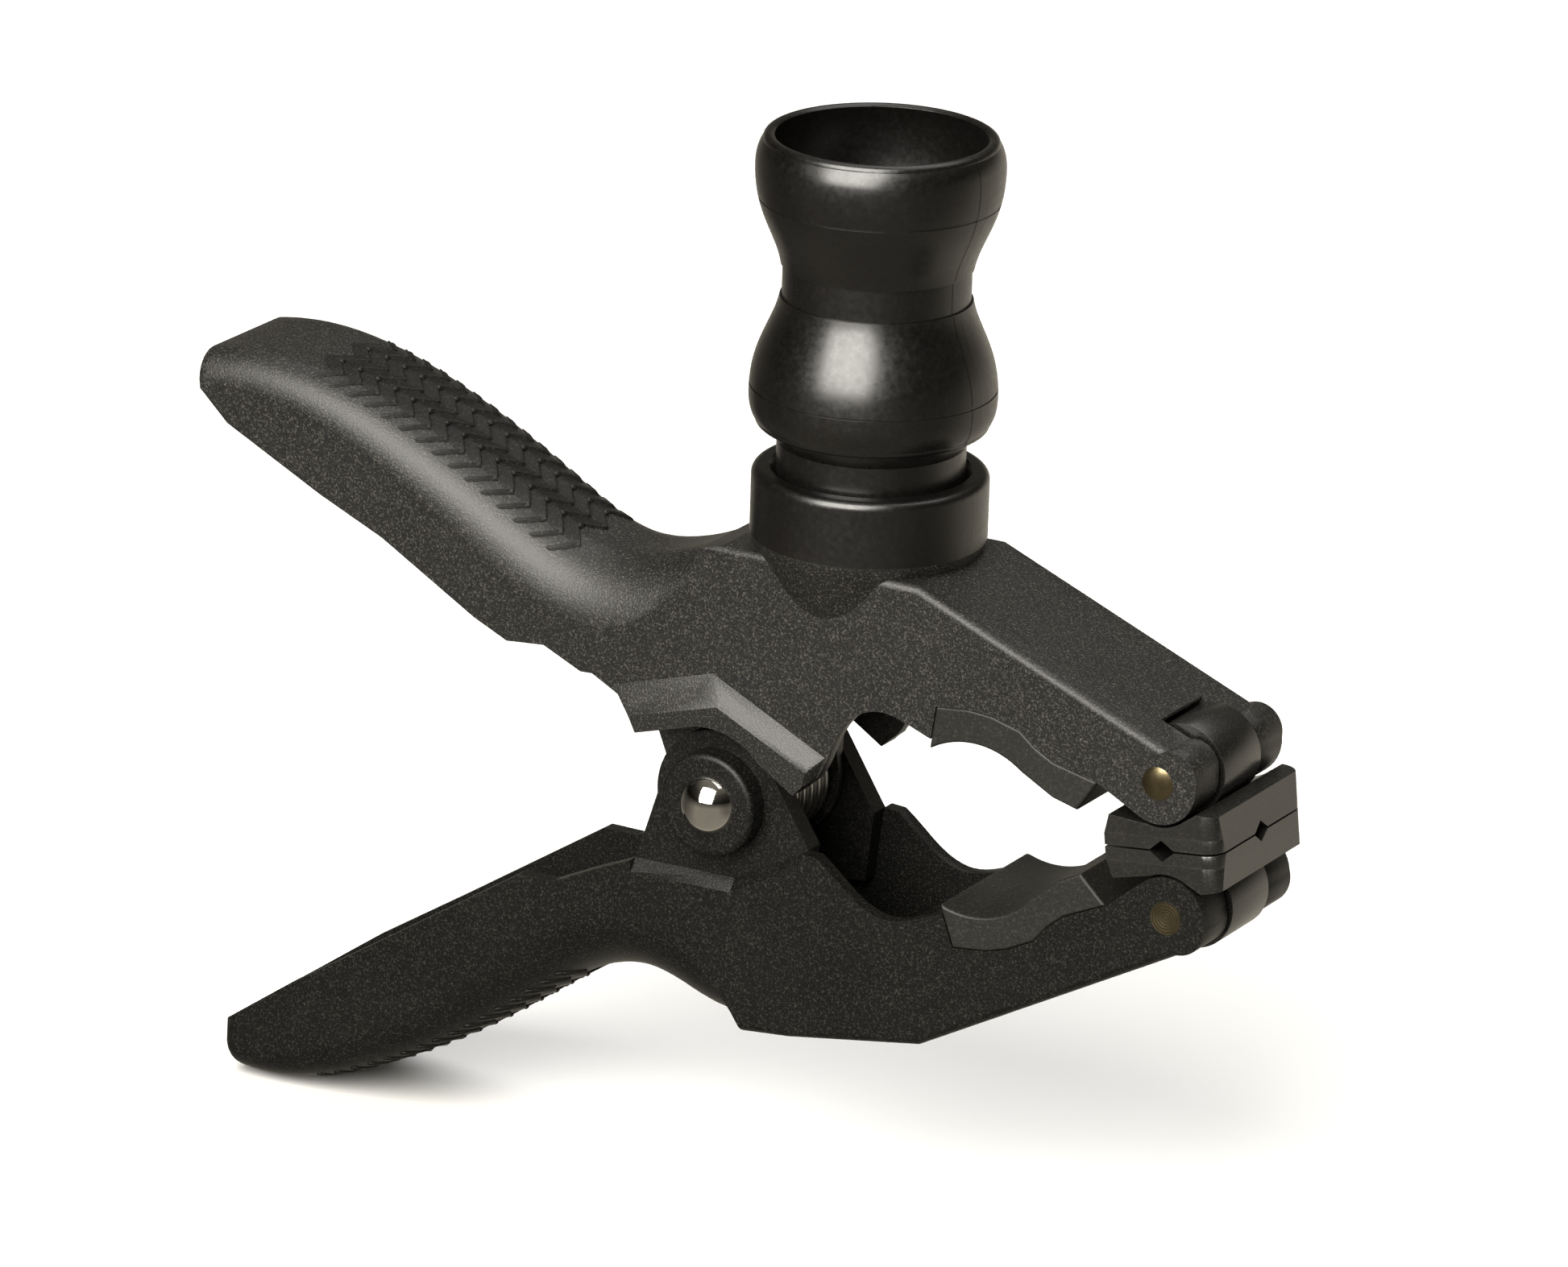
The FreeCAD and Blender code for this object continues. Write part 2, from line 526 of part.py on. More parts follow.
def ball_connector():
    centre = (0.0, BALL_HEIGHT)
    foot = COLLAR_FLOOR + RUNNING_CLEARANCE
    hole = BOLT_RADIUS + RUNNING_CLEARANCE
    top_level = BALL_TOP - BALL_HEIGHT
    top_angle = math.degrees(math.asin(top_level / BALL_RADIUS))
    neck_level = ball_level(NECK_RADIUS)
    neck_angle = -math.degrees(math.asin(neck_level / BALL_RADIUS))
    return turned([("start", [(hole, foot)]),
                   ("line", [(NECK_RADIUS, foot), polar(BALL_RADIUS, neck_angle, centre)]),
                   ("arc", [polar(BALL_RADIUS, (neck_angle + top_angle) / 2, centre),
                            polar(BALL_RADIUS, top_angle, centre)]),
                   ("line", [(BALL_BORE, BALL_TOP), (BALL_BORE, NECK_FLOOR_TOP), (hole, NECK_FLOOR_TOP)])])


def double_socket():
    cavity = BALL_RADIUS + SOCKET_GAP
    centre = (0.0, BALL_HEIGHT)
    mouth_angle = -math.degrees(math.asin((BALL_HEIGHT - SOCKET_MOUTH) / cavity))
    bore_angle = math.degrees(math.acos(SOCKET_BORE / cavity))
    mouth = polar(cavity, mouth_angle, centre)
    rim = [(mouth[0] + 0.9, SOCKET_MOUTH - 0.35), (16.45, SOCKET_MOUTH + 0.5)]
    bulge = [(17.05, 17.9), (17.4, 21.3), (16.8, 25.4), (15.4, 29.2), (14.1, 32.3),
             (13.5, SOCKET_MIDDLE - BAND_HALF_HEIGHT)]
    half = turned([("start", [mouth]),
                   ("arc", rim),
                   ("curve", bulge),
                   ("line", [(BAND_RADIUS, SOCKET_MIDDLE - BAND_HALF_HEIGHT), (BAND_RADIUS, SOCKET_MIDDLE),
                             (SOCKET_BORE, SOCKET_MIDDLE), polar(cavity, bore_angle, centre)]),
                   ("arc", [polar(cavity, (mouth_angle + bore_angle) / 2, centre), mouth])])
    other = half.mirror(stem_point(SOCKET_MIDDLE), Vec(0, 0, 1))
    socket = half.fuse(other)
    for height, radius in SEAMS:
        ring = Part.makeCylinder(2 * radius, SEAM_HEIGHT, stem_point(height))
        socket = socket.cut(ring.cut(Part.makeCylinder(radius, SEAM_HEIGHT, stem_point(height))))
    return socket.removeSplitter()


def stem_bolt():
    washer_top = NECK_FLOOR_TOP + RUNNING_CLEARANCE + WASHER_HEIGHT
    tip = -SUPPORT_DEPTH - WASHER_HEIGHT - NUT_HEIGHT - BOLT_END
    head_top = washer_top + BOLT_HEAD_HEIGHT
    shank = Part.makeCylinder(BOLT_RADIUS, washer_top - tip, stem_point(tip))
    head = Part.makeCylinder(BOLT_HEAD_RADIUS, BOLT_HEAD_HEIGHT, stem_point(washer_top))
    top_edge = [edge for edge in head.Edges if edge.BoundBox.ZMin > stem_point(head_top).z - 0.01]
    head = head.makeFillet(BOLT_HEAD_ROUND, top_edge)
    key = hexagon(HEX_KEY_RADIUS, HEX_KEY_DEPTH, head_top - HEX_KEY_DEPTH)
    return shank.fuse(head).cut(key).removeSplitter()


def hexagon(radius, height, foot):
    corners = [polar(radius, 60 * i) for i in range(7)]
    wire = Part.makePolygon([Vec(x, y, 0) for x, y in corners])
    solid = Part.Face(wire).extrude(Vec(0, 0, height))
    solid.translate(stem_point(foot))
    return solid


def washer(foot, hole):
    ring = Part.makeCylinder(WASHER_RADIUS, WASHER_HEIGHT, stem_point(foot))
    return ring.cut(Part.makeCylinder(hole, WASHER_HEIGHT, stem_point(foot)))


def stem_washers():
    top = washer(NECK_FLOOR_TOP + RUNNING_CLEARANCE, BOLT_RADIUS)
    bottom = washer(-SUPPORT_DEPTH - WASHER_HEIGHT, BOLT_RADIUS)
    return Part.makeCompound([top, bottom])


def stem_nut():
    foot = -SUPPORT_DEPTH - WASHER_HEIGHT - NUT_HEIGHT
    nut = hexagon(NUT_RADIUS, NUT_HEIGHT, foot)
    return nut.cut(Part.makeCylinder(BOLT_RADIUS, NUT_HEIGHT, stem_point(foot)))


NODES = {
    "upper_jaw": upper_jaw,
    "lower_jaw": lower_jaw,
    "pivot_rivet": pivot_rivet,
    "pivot_cap": pivot_cap,
    "spring_sleeve": spring_sleeve,
    "torsion_spring": torsion_spring,
    "upper_cradle_pad": lambda: cradle_pad(UP),
    "lower_cradle_pad": lambda: cradle_pad(DOWN),
    "upper_swivel_pad": lambda: swivel_pad(UP),
    "lower_swivel_pad": lambda: swivel_pad(DOWN),
    "upper_pad_facing": lambda: pad_facing(UP),
    "lower_pad_facing": lambda: pad_facing(DOWN),
    "upper_pad_pin": lambda: pad_pin(UP, True),
    "lower_pad_pin": lambda: pad_pin(DOWN, False),
    "stem_collar": stem_collar,
    "ball_connector": ball_connector,
    "double_socket": double_socket,
    "stem_bolt": stem_bolt,
    "stem_washers": stem_washers,
    "stem_nut": stem_nut,
}

os.makedirs("parts", exist_ok=True)
for name, make in NODES.items():
    shape = make()
    shape.exportStep("parts/" + name + ".step")
    print(name, len(shape.Solids), "solids, valid", shape.isValid(), "volume", round(shape.Volume, 1))
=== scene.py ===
import json
import math

import bpy
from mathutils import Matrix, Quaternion, Vector
from mathutils.bvhtree import BVHTree


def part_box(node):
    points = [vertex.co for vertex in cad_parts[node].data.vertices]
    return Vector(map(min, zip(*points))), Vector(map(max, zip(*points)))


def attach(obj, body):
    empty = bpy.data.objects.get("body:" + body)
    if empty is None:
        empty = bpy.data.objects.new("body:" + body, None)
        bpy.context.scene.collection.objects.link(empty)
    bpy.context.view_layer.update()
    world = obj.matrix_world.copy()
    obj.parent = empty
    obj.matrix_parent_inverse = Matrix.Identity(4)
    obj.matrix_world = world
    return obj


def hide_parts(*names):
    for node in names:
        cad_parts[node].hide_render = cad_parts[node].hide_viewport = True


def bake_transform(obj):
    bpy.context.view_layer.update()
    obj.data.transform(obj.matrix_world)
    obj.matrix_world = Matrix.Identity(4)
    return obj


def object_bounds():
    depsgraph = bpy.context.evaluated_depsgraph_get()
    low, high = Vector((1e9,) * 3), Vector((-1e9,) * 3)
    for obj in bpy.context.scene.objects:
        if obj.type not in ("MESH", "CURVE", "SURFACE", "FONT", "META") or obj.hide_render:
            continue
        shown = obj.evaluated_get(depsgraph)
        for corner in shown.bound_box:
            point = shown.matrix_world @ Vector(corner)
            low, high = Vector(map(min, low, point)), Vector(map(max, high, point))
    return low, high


# A squeeze-handle spring clamp with swivelling pads and a ball-socket stem, in a pale studio.
# Lengths are in metres in the CAD model's frame: +X towards the jaw tips, +Z up the stem.

MM = 0.001
ACROSS = Vector((0, 1, 0))
UP = Vector((0, 0, 1))

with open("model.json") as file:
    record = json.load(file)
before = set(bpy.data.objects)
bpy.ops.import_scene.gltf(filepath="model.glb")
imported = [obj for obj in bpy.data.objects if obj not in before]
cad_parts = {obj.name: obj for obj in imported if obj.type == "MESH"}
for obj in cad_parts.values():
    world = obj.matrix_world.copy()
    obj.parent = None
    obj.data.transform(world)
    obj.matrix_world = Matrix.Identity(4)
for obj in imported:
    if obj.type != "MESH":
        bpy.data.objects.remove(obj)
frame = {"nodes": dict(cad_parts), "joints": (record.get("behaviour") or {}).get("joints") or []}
nodes = frame["nodes"]
cad_low, cad_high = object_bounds()
joints = {joint["name"]: joint for joint in frame["joints"]}


def direction(azimuth, elevation):
    """Unit vector from the object towards a place round it. Azimuth 0 is in front, at -Y."""
    a, e = math.radians(azimuth), math.radians(elevation)
    return Vector((math.sin(a) * math.cos(e), -math.cos(a) * math.cos(e), math.sin(e)))


# ---------------------------------------------------------------- materials

MIX_FACTOR, MIX_UNDER, MIX_OVER, MIX_RESULT = 0, 6, 7, 2     # a Mix node's sockets for colours
RAMP_FROM, RAMP_TO = 0.3, 0.7
EDGE_HIGHLIGHT_COSINE, FLAT_COSINE = 0.8, 0.995    # between the face's own normal and the rounded one, where the painted edge highlights start and end
EDGE_SAMPLES = 4

# plastic and rubber
CLOUD_SIZE = 14 * MM
CLOUD_DARK, CLOUD_LIGHT = 0.75, 1.35     # shares of the plastic's own colour
SPECK_FROM, SPECK_FULL = 0.53, 0.80      # of the grain's noise, where the painted glint specks start and are full
EDGE_HIGHLIGHT_GAIN = 6                               # how many times lighter a painted edge highlight is
# least and most of the painted edge highlights, from cloud to cloud
LEAST_EDGE_HIGHLIGHT, MOST_EDGE_HIGHLIGHT = 0.3, 1.0
SHINIER, DULLER = 0.06, 0.08             # how far the grain takes the roughness down and up
RIPPLE_SIZE = 5 * MM
RIPPLE_DEPTH = 0.02 * MM

# metal
TARNISH_SIZE = 3 * MM
TARNISH_DARK = 0.82                      # share of the metal's own colour
SMOOTHER, ROUGHER = 0.7, 1.4             # shares of the metal's own roughness
SCRATCH_STRETCH = (1.0, 0.15, 1.0)       # the scratches run across the clamp
TURNED_PITCH = 0.45 * MM


class Shader:
    """One procedural material, with short calls for the nodes that it needs."""

    def __init__(self, name):
        self.material = bpy.data.materials.new(name)
        self.material.use_nodes = True
        self.tree = self.material.node_tree
        self.bsdf = self.tree.nodes["Principled BSDF"]
        self.place = self.add("ShaderNodeTexCoord").outputs["Object"]

    def add(self, kind, **settings):
        node = self.tree.nodes.new(kind)
        for key, value in settings.items():
            setattr(node, key, value)
        return node

    def feed(self, node, **inputs):
        """Sets a node's inputs by name: an output is linked and anything else is a constant."""
        for key, value in inputs.items():
            socket = node.inputs[key.replace("_", " ")]
            if isinstance(value, bpy.types.NodeSocket):
                self.tree.links.new(value, socket)
            else:
                socket.default_value = value
        return node

    def set(self, name, value):
        self.bsdf.inputs[name].default_value = value

    def link(self, output, name):
        self.tree.links.new(output, self.bsdf.inputs[name])

    def noise(self, size, detail=2.0, roughness=0.55, stretch=None):
        """Fine pattern whose features are about this size; stretch scales its three axes."""
        place = self.place
        if stretch:
            place = self.feed(self.add("ShaderNodeMapping"), Vector=place, Scale=stretch).outputs[0]
        node = self.add("ShaderNodeTexNoise")
        self.feed(node, Vector=place, Scale=1 / size, Detail=detail, Roughness=roughness)
        return node.outputs["Fac"]

    def ramp(self, factor, low, high):
        """Blend from one constant colour to another as the factor rises."""
        node = self.add("ShaderNodeValToRGB")
        self.tree.links.new(factor, node.inputs[0])
        first, last = node.color_ramp.elements
        first.position, last.position = RAMP_FROM, RAMP_TO
        first.color, last.color = (*low, 1), (*high, 1)
        return node.outputs[0]

    def spread(self, factor, low, high, start=0.25, end=0.75):
        """Number from low to high as the factor goes from start to end."""
        node = self.add("ShaderNodeMapRange")
        self.feed(node, Value=factor, From_Min=start, From_Max=end, To_Min=low, To_Max=high)
        return node.outputs[0]

    def mix(self, factor, under, over):
        """An output's colour, with a constant colour over it as far as the factor says."""
        node = self.add("ShaderNodeMix", data_type="RGBA")
        self.tree.links.new(factor, node.inputs[MIX_FACTOR])
        self.tree.links.new(under, node.inputs[MIX_UNDER])
        node.inputs[MIX_OVER].default_value = (*over, 1)
        return node.outputs[MIX_RESULT]

    def maths(self, operation, first, second=0.0):
        """Result for an output and a second number, which is an output or a constant."""
        node = self.add("ShaderNodeMath", operation=operation)
        self.tree.links.new(first, node.inputs[0])
        if isinstance(second, bpy.types.NodeSocket):
            self.tree.links.new(second, node.inputs[1])
        else:
            node.inputs[1].default_value = second
        return node.outputs[0]

    def bump(self, height, depth, after=None):
        node = self.feed(self.add("ShaderNodeBump"), Height=height, Strength=1.0, Distance=depth)
        if after:
            self.tree.links.new(after, node.inputs["Normal"])
        return node.outputs[0]

    def edges(self, radius):
        """1 on sharp outer edges and in tight corners, 0 on flat faces."""
        soft = self.feed(self.add("ShaderNodeBevel", samples=EDGE_SAMPLES), Radius=radius).outputs[0]
        flat = self.add("ShaderNodeNewGeometry").outputs["Normal"]
        dot = self.add("ShaderNodeVectorMath", operation="DOT_PRODUCT")
        self.tree.links.new(soft, dot.inputs[0])
        self.tree.links.new(flat, dot.inputs[1])
        return self.spread(dot.outputs["Value"], 1.0, 0.0, EDGE_HIGHLIGHT_COSINE, FLAT_COSINE)

    def rings(self, centre, pitch):
        """Wave whose crests are circles about an axis across the clamp."""
        from_axis = self.add("ShaderNodeMapping")
        self.feed(from_axis, Vector=self.place, Location=(-centre.x, 0, -centre.z))
        flat = self.add("ShaderNodeVectorMath", operation="MULTIPLY")
        self.tree.links.new(from_axis.outputs[0], flat.inputs[0])
        flat.inputs[1].default_value = (1, 0, 1)
        length = self.add("ShaderNodeVectorMath", operation="LENGTH")
        self.tree.links.new(flat.outputs[0], length.inputs[0])
        turns = self.maths("MULTIPLY", length.outputs["Value"], 2 * math.pi / pitch)
        return self.maths("SINE", turns)


def shade(colour, share):
    return tuple(c * share for c in colour)


def moulded(name, colour, roughness, grain=0.5, depth=0.02, glint=5.0, edge_highlight=0.35, edge=0.35,
            specular=0.5):
    """Moulded plastic or rubber: grain from the mould, cloudy colour, painted highlights on edges and in
    tight corners.

    Grain, depth and edge are in millimetres. Glint says how many times lighter the specks are: painted
    glints on the grain.
    """
    shader = Shader(name)
    fine = shader.noise(grain * MM, detail=3.0, roughness=0.7)
    cloud = shader.noise(CLOUD_SIZE, detail=4.0)
    base = shader.ramp(cloud, shade(colour, CLOUD_DARK), shade(colour, CLOUD_LIGHT))
    # painted glints: the grain's specks made lighter in the colour
    glint_specks = shader.spread(fine, 0.0, 1.0, SPECK_FROM, SPECK_FULL)
    glint_speckled = shader.mix(glint_specks, base, shade(colour, glint))
    # painted highlights: lighter colour on sharp edges and in tight corners, more in some clouds than in
    # others
    highlight_patches = shader.spread(cloud, LEAST_EDGE_HIGHLIGHT, MOST_EDGE_HIGHLIGHT)
    edge_highlight_mask = shader.maths("MULTIPLY", shader.edges(edge * MM), highlight_patches)
    edge_highlighted = shader.mix(shader.maths("MULTIPLY", edge_highlight_mask, edge_highlight), glint_speckled, shade(colour, EDGE_HIGHLIGHT_GAIN))
    shader.link(edge_highlighted, "Base Color")
    shader.link(shader.spread(fine, roughness - SHINIER, roughness + DULLER), "Roughness")
    broad = shader.bump(shader.noise(RIPPLE_SIZE, detail=1.0), RIPPLE_DEPTH)
    shader.link(shader.bump(fine, depth * MM, after=broad), "Normal")
    shader.set("Specular IOR Level", specular)
    return shader.material


def metal(name, colour, roughness, scratch=0.15, rings_about=None, depth=0.002):
    """Metal with fine scratches, or with turned rings about a point's axis across the clamp.

    Scratch and depth are in millimetres.
    """
    shader = Shader(name)
    cloud = shader.noise(TARNISH_SIZE, detail=4.0)
    shader.link(shader.ramp(cloud, shade(colour, TARNISH_DARK), colour), "Base Color")
    shader.set("Metallic", 1.0)
    shader.link(shader.spread(cloud, roughness * SMOOTHER, roughness * ROUGHER), "Roughness")
    if rings_about:
        height = shader.rings(rings_about, TURNED_PITCH)
    else:
        height = shader.noise(scratch * MM, stretch=SCRATCH_STRETCH)
    shader.link(shader.bump(height, depth * MM), "Normal")
    return shader.material


def make_materials():
    """Every finish of the clamp, by a short name."""
    return {
        "upper_nylon": moulded(
            "jaw_nylon_black", (0.0034, 0.0032, 0.0027), roughness=0.43, grain=0.32, depth=0.075,
            glint=22.0, specular=0.53),
        # a darker, less shiny copy of the jaw nylon for the upper grip: painted shade, the dimmer
        # reflection on the grip's slopes
        "grip_nylon": moulded(
            "jaw_nylon_grip", (0.0030, 0.0029, 0.0025), roughness=0.50, grain=0.32, depth=0.05,
            glint=12.0, specular=0.26),
        # a darker copy of the jaw nylon for the lower jaw and its grip: its darker colour is painted
        # shade
        "lower_nylon": moulded(
            "jaw_nylon_lower", (0.0020, 0.0020, 0.0017), roughness=0.42, grain=0.32, depth=0.055,
            glint=16.0, specular=0.27),
        "pad_nylon": moulded(
            "pad_nylon_black", (0.0040, 0.0038, 0.0033), roughness=0.28, grain=0.35, depth=0.012,
            glint=4.0, specular=0.95),
        "cradle_rubber": moulded(
            "cradle_rubber_olive", (0.0060, 0.0057, 0.0043), roughness=0.52, grain=0.45, depth=0.04,
            glint=4.0, specular=0.42),
        "facing_rubber": moulded(
            "facing_rubber_black", (0.0044, 0.0042, 0.0037), roughness=0.30, grain=0.35, depth=0.012,
            glint=4.0, specular=0.95),
        "stem_acetal": moulded(
            "stem_acetal_black", (0.0020, 0.0017, 0.0014), roughness=0.30, grain=0.9, depth=0.0012,
            glint=1.6, edge_highlight=0.25, specular=0.66),
        "sleeve_acetal": moulded("sleeve_acetal_grey", (0.05, 0.05, 0.05), roughness=0.45),
        "chrome": metal(
            "rivet_chrome", (0.86, 0.84, 0.80), roughness=0.06, scratch=0.4, depth=0.0004),
        "domed_brass": metal(
            "pin_brass_domed", (0.21, 0.172, 0.098), roughness=0.24, scratch=0.6, depth=0.004),
        "turned_brass": metal(
            "pin_brass_turned", (0.19, 0.158, 0.095), roughness=0.25, depth=0.012,
            rings_about=Vector(joints["lower_pad_swivel"]["pos_m"])),
        "spring_steel": metal(
            "spring_wire", (0.50, 0.49, 0.47), roughness=0.34, scratch=0.25, depth=0.003),
        "zinc": metal("fastener_zinc", (0.66, 0.66, 0.64), roughness=0.3, scratch=0.3),
    }


FINISHES = {
    "upper_nylon": ["upper_jaw"],
    "lower_nylon": ["lower_jaw"],
    "pad_nylon": ["upper_swivel_pad", "lower_swivel_pad"],
    "cradle_rubber": ["upper_cradle_pad", "lower_cradle_pad"],
    "facing_rubber": ["upper_pad_facing", "lower_pad_facing"],
    "stem_acetal": ["stem_collar", "ball_connector", "double_socket"],
    "sleeve_acetal": ["spring_sleeve"],
    "chrome": ["pivot_rivet", "pivot_cap"],
    "domed_brass": ["upper_pad_pin"],
    "turned_brass": ["lower_pad_pin"],
    "spring_steel": ["torsion_spring"],
    "zinc": ["stem_bolt", "stem_washers", "stem_nut"],
}


def dress(material, name):
    """Gives a CAD node this material alone."""
    mesh = nodes[name].data
    mesh.materials.clear()
    mesh.materials.append(material)


# ---------------------------------------------------------------- rounded edges

WELD_WITHIN = 0.001 * MM
EDGE_ANGLE = 32.0                # degrees; faces that turn less than this keep their edge
EDGE_ROUNDING = {                # the widest that the rounding gets, in millimetres, and its segments
    "jaw": (0.35, 2),
    "swivel_pad": (0.5, 3),
    "pad_facing": (0.25, 2),
    "cradle_pad": (0.4, 2),
}


def soften(name, width, segments):
    """Rounds a CAD node's sharp edges a little, as a mould leaves them."""
    node = nodes[name]
    weld = node.modifiers.new("weld", "WELD")
    weld.merge_threshold = WELD_WITHIN
    bevel = node.modifiers.new("edge_round", "BEVEL")
    bevel.width = width * MM
    bevel.segments = segments
    bevel.limit_method = "ANGLE"
    bevel.angle_limit = math.radians(EDGE_ANGLE)
    bevel.harden_normals = True
    bevel.miter_outer = "MITER_ARC"


# ---------------------------------------------------------------- added pieces

def surface(name):
    mesh = nodes[name].data
    return BVHTree.FromPolygons([v.co for v in mesh.vertices], [p.vertices for p in mesh.polygons])


def grid_faces(first, lines, columns):
    """Quads between lines of vertices, with this many columns in each, from vertex first on."""
    faces = []
    for line in range(lines - 1):
        for column in range(columns - 1):
            corner = first + line * columns + column
            faces.append((corner, corner + 1, corner + columns + 1, corner + columns))
    return faces


def mesh_piece(name, vertices, faces, material, body):
    """A new piece of the clamp that moves with one body."""
    mesh = bpy.data.meshes.new(name)
    mesh.from_pydata(vertices, [], faces)
    mesh.validate()
    mesh.materials.append(material)
    mesh.shade_smooth()
    piece = bpy.data.objects.new(name, mesh)
    bpy.context.scene.collection.objects.link(piece)
    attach(piece, body)


# ---------------------------------------------------------------- grips on the handles

ROW_PITCH = 3.15 * MM
ZIGZAG_HALF = 3.5 * MM           # across one arm of a zigzag
ZIGZAG_REACH = 3.0 * MM          # along the handle between its apexes

SCALE_ARMS = 4                   # arms that are scales; one more on each side is a hairpin rib
SCALE_FADE = 0.9 * MM            # over which the scales run out at each side
SCALE_HEIGHT = 0.46 * MM
SCALE_SINK = 0.06 * MM           # of the scales' outer rim, under the handle's surface
ARM_SAMPLES = 8
# how far along one row, and how high there: a slow rise and a sudden drop
SCALE_PROFILE = [
    (0.0, 0.04), (0.10, 0.05), (0.35, 0.30), (0.62, 0.66), (0.84, 0.95), (0.93, 1.0), (0.985, 0.85),
]

RIB_SINK = -0.05 * MM
RIB_RIM = 0.20 * MM
RIB_FLAT = 0.03 * MM
# one half of a rib's cross-section, from outside in: offset along the handle and height over it
RIB_HALF = [(0.55 * MM, RIB_SINK), (0.46 * MM, RIB_RIM), (0.34 * MM, RIB_RIM), (0.20 * MM, RIB_FLAT)]
RIB_PROFILE = [(-offset, height) for offset, height in RIB_HALF] + RIB_HALF[::-1]
RIB_STEPS = 16
RIB_PLACE = 0.9                  # share of its row's pitch at which a rib lies
RIB_ROUND_FROM = 0.86            # share of its length at which a rib starts to round off
RIB_SINK_UNDER = 0.3             # share of its full width under which it also sinks

BEAD_RADIUS = 0.60 * MM
BEAD_AHEAD = 0.25 * MM           # of the start of the next row
BEAD_LIFT = 0.06 * MM            # of its middle over the handle
BEAD_RINGS = 4
BEAD_SEGMENTS = 10
BEAD_ARMS = range(-2, 3)         # where the zigzags' apexes lie, in arms from the middle
SLOPE_STEP = 0.5 * MM            # to the points that give the surface's slope under a bead


class Handle:
    """A handle's outer surface, by distance along its crest from the tip and distance across."""

    STEP = 0.5 * MM
    TIP_MARGIN = 1.5 * MM
    OUTSIDE = 200 * MM           # height from which the crest is sought
    NEAR = 8 * MM                # distance over the surface from which a point on it is sought
    ROUND = 8.0 * MM             # middling: the long edges are rounder at the body than at the tip

    def __init__(self, node, side, length):
        low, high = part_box(node)
        self.tree = surface(node)
        self.side = side
        self.half_width = (high.y - low.y) / 2
        self.crest = []
        x = low.x + self.TIP_MARGIN
        travelled = 0.0
        while travelled < length:
            spot = self.hit(Vector((x, 0, side * self.OUTSIDE)), Vector((0, 0, -side)))
            if self.crest:
                travelled += (spot - self.crest[-1]).length
            self.crest.append(spot)
            x += self.STEP

    def hit(self, origin, towards):
        return self.tree.ray_cast(origin, towards)[0]

    def at(self, along):
        """Crest point and tangent at this distance from the first crest point."""
        left = along
        for here, there in zip(self.crest, self.crest[1:]):
            step = (there - here).length
            if left <= step:
                return here.lerp(there, left / step), (there - here).normalized()
            left -= step
        return self.crest[-1], (self.crest[-1] - self.crest[-2]).normalized()

    def point(self, along, across, lift):
        """Point on the surface, lifted square to it."""
        spot, tangent = self.at(along)
        outward = self.side * tangent.cross(ACROSS)
        if outward.z * self.side < 0:
            outward = -outward
        flat = self.half_width - self.ROUND
        past = abs(across) - flat
        if past <= 0:
            target = spot + ACROSS * across
            aim = outward
        else:
            angle = past / self.ROUND
            sign = math.copysign(1.0, across)
            centre = spot + ACROSS * sign * flat - outward * self.ROUND
            aim = outward * math.cos(angle) + ACROSS * sign * math.sin(angle)
            target = centre + aim * self.ROUND
        found = self.hit(target + aim * self.NEAR, -aim)
        return (found if found else target) + aim * lift


def zigzag(across):
    """0 at the apexes that point to the tip and 1 at those that point to the jaws."""
    phase = (across / ZIGZAG_HALF) % 2.0
    return 1.0 - phase if phase <= 1.0 else phase - 1.0


def smooth(value):
    value = min(1.0, max(0.0, value))
    return value * value * (3 - 2 * value)


def make_grip(half, side, start, rows, material):
    """The grip of the upper or lower handle: scales, beads and ribs, in rows from near its tip."""
    name = half + "_grip"
    handle = Handle(half + "_jaw", side, start + (rows + 2) * ROW_PITCH)
    make_scales(name, handle, start, rows, half, material)
    make_beads(name + "_beads", handle, start, rows, half, material)
    make_ribs(name + "_ribs", handle, start, rows, half, material)


def make_scales(name, handle, start, rows, body, material):
    """Overlapping scales with zigzag edges, one row after another along the handle."""
    half_span = ZIGZAG_HALF * SCALE_ARMS / 2 + SCALE_FADE / 2
    columns = SCALE_ARMS * ARM_SAMPLES
    lines = rows * len(SCALE_PROFILE) + 1
    vertices = []
    for line in range(lines):
        row, part = divmod(line, len(SCALE_PROFILE))
        share, height = SCALE_PROFILE[part]
        for column in range(columns + 1):
            across = -half_span + 2 * half_span * column / columns
            along = start + ROW_PITCH * (row + share) + ZIGZAG_REACH * zigzag(across)
            inside = smooth((half_span - abs(across)) / SCALE_FADE)
            ends = 0.0 if line in (0, lines - 1) else 1.0
            lift = SCALE_HEIGHT * height * inside * ends - SCALE_SINK * (1 - inside * ends)
            vertices.append(handle.point(along, across, lift))
    faces = grid_faces(0, lines, columns + 1)
    mesh_piece(name, vertices, faces, material, body)


def make_ribs(name, handle, start, rows, body, material):
    """Flat ribs with raised outlines and round outer ends, over the handle's rounded long edges."""
    inner, outer = ZIGZAG_HALF * SCALE_ARMS / 2, ZIGZAG_HALF * (SCALE_ARMS / 2 + 1)
    vertices, faces = [], []
    for row in range(rows):
        for side in (-1, 1):
            faces += grid_faces(len(vertices), RIB_STEPS + 1, len(RIB_PROFILE))
            for step in range(RIB_STEPS + 1):
                share = step / RIB_STEPS
                across = side * (inner + (outer - inner) * share)
                middle = start + ROW_PITCH * (row + RIB_PLACE) + ZIGZAG_REACH * zigzag(across)
                past = max(0.0, (share - RIB_ROUND_FROM) / (1 - RIB_ROUND_FROM))
                narrow = math.sqrt(max(0.0, 1 - past * past))
                rise = 1.0 if narrow > RIB_SINK_UNDER else narrow / RIB_SINK_UNDER
                for offset, height in RIB_PROFILE:
                    lift = RIB_SINK + (height - RIB_SINK) * rise
                    vertices.append(handle.point(middle + offset * narrow, across, lift))
    mesh_piece(name, vertices, faces, material, body)


